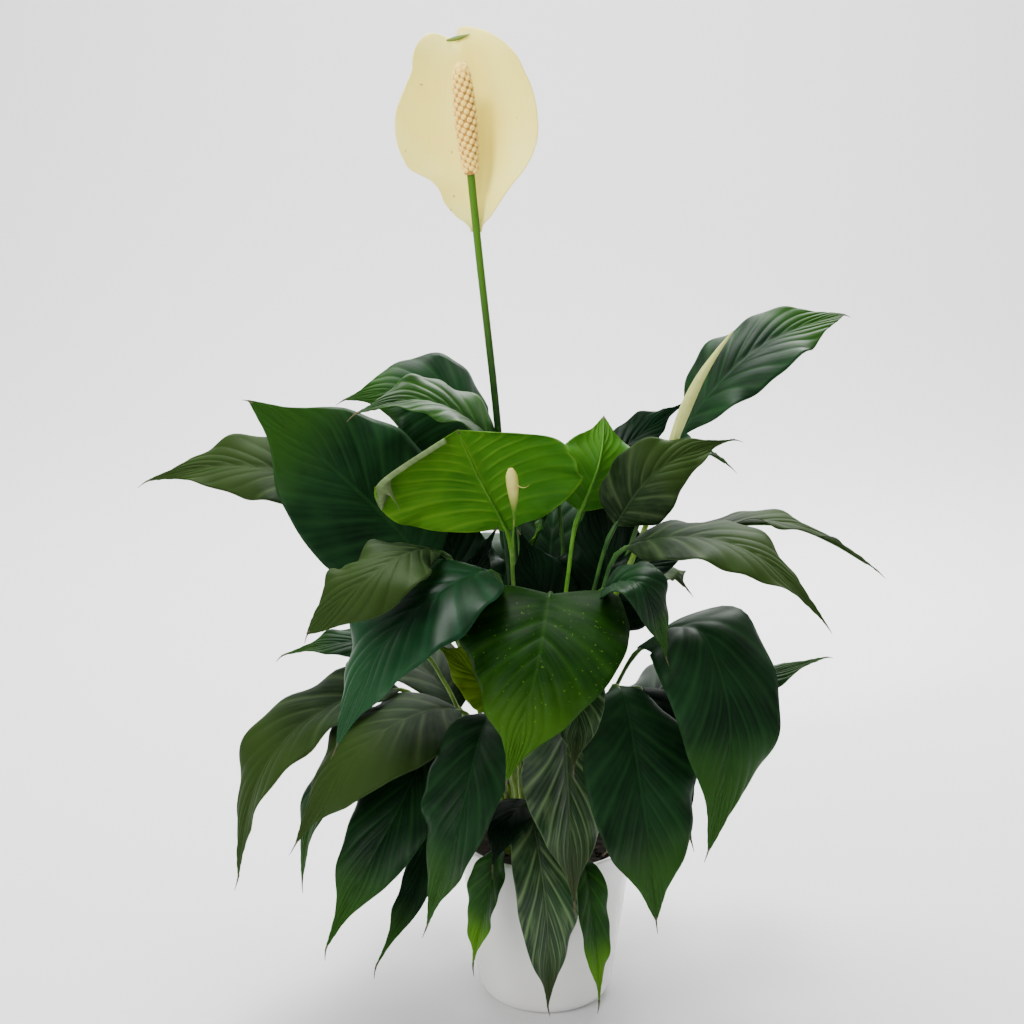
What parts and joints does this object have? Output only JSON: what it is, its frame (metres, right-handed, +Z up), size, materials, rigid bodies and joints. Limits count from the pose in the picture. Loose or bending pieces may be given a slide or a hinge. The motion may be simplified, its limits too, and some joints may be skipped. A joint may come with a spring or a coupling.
{
  "type": "potted peace lily",
  "caption": "Peace lily in a plain tapered white cachepot, with pointed glossy leaves on long stalks, an open flower with its hood and spike, and closed buds.",
  "frame": {"origin": "centre of the cachepot's underside, on the surface that it stands on", "axes": "+Z up along the pot's axis, -Y towards the front of the plant, +X to the right seen from the front"},
  "size_m": [0.5833, 0.3846, 0.7554],
  "materials": {
    "leaf": "glossy dark green leaf with pale side veins",
    "stalk": "smooth yellow-green stalk",
    "spathe": "thin creamy petal with a soft sheen",
    "spadix": "knobbly cream flower spike",
    "bud": "smooth pale green bud",
    "ceramic": "white glazed ceramic",
    "plastic": "thin black moulded plastic",
    "soil": "dark crumbly potting soil",
    "root": "dry fibrous root"
  },
  "bodies": {
    "root": {"back_left_top": "leaf", "back_right_low": "leaf", "bottom_left": "leaf", "bottom_right": "leaf", "bud_small": "bud", "bud_tall": "bud", "cachepot": "ceramic", "centre_bright": "leaf", "centre_bright_tip": "leaf", "centre_curl": "leaf", "centre_dark_front": "leaf", "centre_dark_left": "leaf", "centre_dark_right": "leaf", "dry_root": "root", "flower_stalk": "stalk", "front_bottom": "leaf", "front_heart": "leaf", "front_small_shiny": "leaf", "front_striped": "leaf", "left_broad": "leaf", "left_curled": "leaf", "left_far": "leaf", "left_far_low": "leaf", "left_front_blue": "leaf", "left_green_patch": "leaf", "left_light": "leaf", "left_low_front": "leaf", "left_low_narrow": "leaf", "left_low_wide": "leaf", "left_mid_grey": "leaf", "left_mid_large": "leaf", "left_mid_thin": "leaf", "left_yellow": "leaf", "nursery_pot": "plastic", "pot_dark": "leaf", "potting_soil": "soil", "rear_left_high": "leaf", "rear_left_mid": "leaf", "rear_low_left": "leaf", "rear_low_mid": "leaf", "rear_low_right": "leaf", "rear_mid": "leaf", "rear_right_high": "leaf", "rear_right_mid": "leaf", "rear_tall": "leaf", "right_arch": "leaf", "right_arch_back": "leaf", "right_big_droop": "leaf", "right_bright": "leaf", "right_hidden_tip": "leaf", "right_inner": "leaf", "right_low_back": "leaf", "right_low_front": "leaf", "right_low_second": "leaf", "right_olive": "leaf", "right_small_droop": "leaf", "right_top": "leaf", "spadix": "spadix", "spathe": "spathe"}
  },
  "joints": []
}
